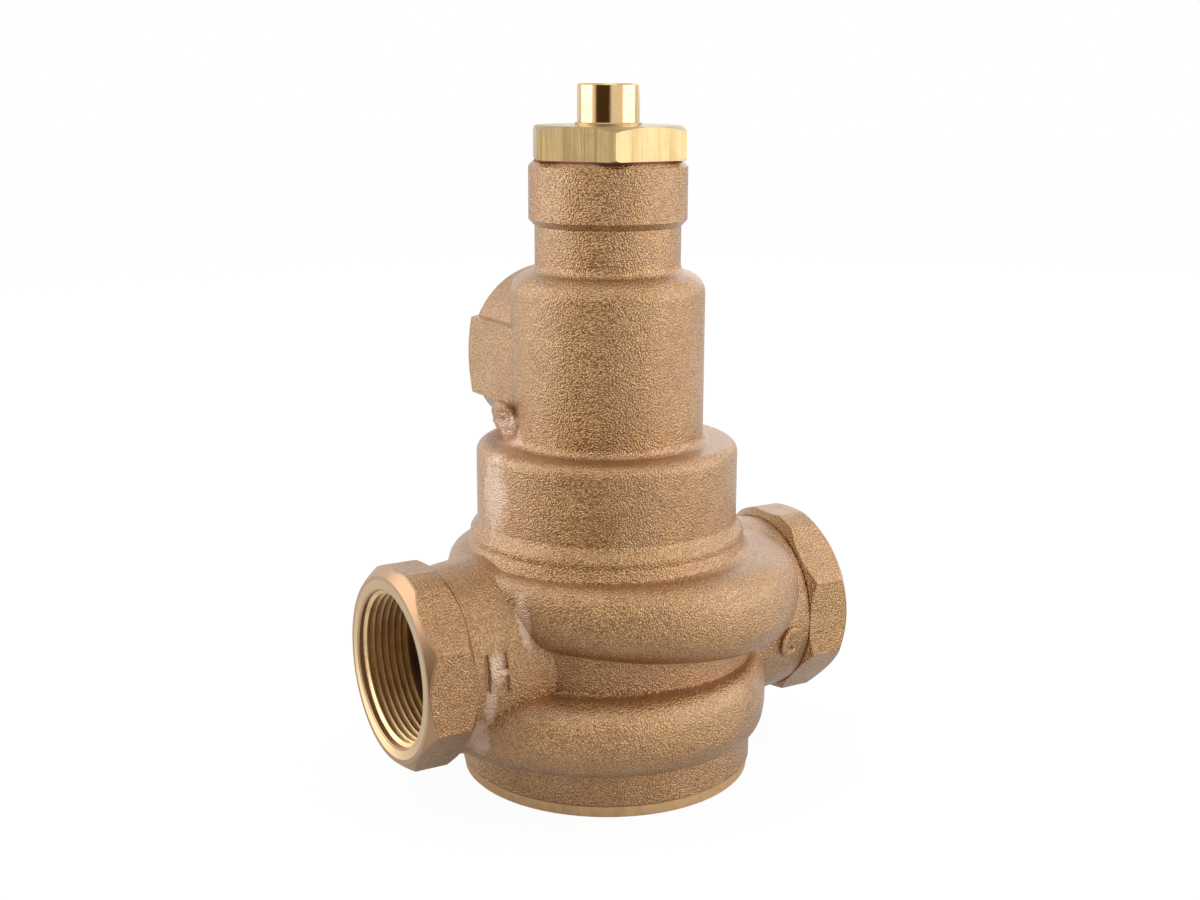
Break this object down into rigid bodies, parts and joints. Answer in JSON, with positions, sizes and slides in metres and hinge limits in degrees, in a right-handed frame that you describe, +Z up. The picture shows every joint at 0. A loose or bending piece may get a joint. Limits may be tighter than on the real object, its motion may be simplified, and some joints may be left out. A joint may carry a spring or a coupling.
{
  "type": "thermostatic mixing valve",
  "caption": "Bronze mixing valve with hot and cold inlet ports in line, a raised outlet behind them, a hexagon bonnet, and a turning stem over a wax element and shuttle.",
  "frame": {"origin": "middle of the flat underside of the base plug, on the valve's own axis", "axes": "+Z up along the valve's axis towards the adjusting stem; +X out of the cold port, -X out of the hot port, +Y out of the mixed outlet"},
  "size_m": [0.152, 0.113, 0.2163],
  "materials": {
    "bronze": "sand-cast, with machined faces",
    "brass": "turned",
    "polished_brass": "polished",
    "steel": "turned",
    "spring_steel": "drawn wire",
    "rubber": "moulded",
    "plastic": "moulded",
    "fibre": "pressed fibre"
  },
  "bodies": {
    "casting": {"valve_body": "bronze", "base_plug": "brass", "base_seal": "rubber", "hot_seat": "steel", "cold_seat": "steel", "shuttle_guide": "brass", "shuttle_seal": "rubber", "mixing_sleeve": "plastic", "bonnet_nut": "brass", "bonnet_gasket": "fibre"},
    "stem": {"adjusting_stem": "polished_brass", "upper_stem_seal": "rubber", "lower_stem_seal": "rubber", "thrust_washer": "plastic"},
    "lift": {"lift_nut": "brass", "retaining_ring": "spring_steel", "overload_spring": "spring_steel"},
    "overload": {"overload_plunger": "brass", "element_pin": "steel"},
    "shuttle": {"shuttle": "brass", "wax_capsule": "brass", "element_guide": "brass", "element_nut": "brass", "return_spring": "spring_steel"}
  },
  "joints": [
    {"name": "stem_turn", "type": "hinge", "parent": "casting", "child": "stem", "pos_m": [0, 0, 0.2], "axis": [0, 0, 1], "range_deg": [-360, 360]},
    {"name": "nut_lift", "type": "slide", "parent": "casting", "child": "lift", "axis": [0, 0, 1], "range_m": [-0.003, 0.003]},
    {"name": "overload_travel", "type": "slide", "parent": "lift", "child": "overload", "axis": [0, 0, 1], "range_m": [0, 0.004], "stiffness_N_per_m": 9000, "springref_m": -0.002, "deforming": ["overload_spring"]},
    {"name": "shuttle_travel", "type": "slide", "parent": "casting", "child": "shuttle", "axis": [0, 0, 1], "range_m": [-0.0018, 0.0018], "stiffness_N_per_m": 6000, "springref_m": 0.00065, "deforming": ["return_spring"]}
  ],
  "couplings": [
    {"joint": "stem_turn", "follows": "nut_lift", "rad_per_m": -2094.4}
  ]
}
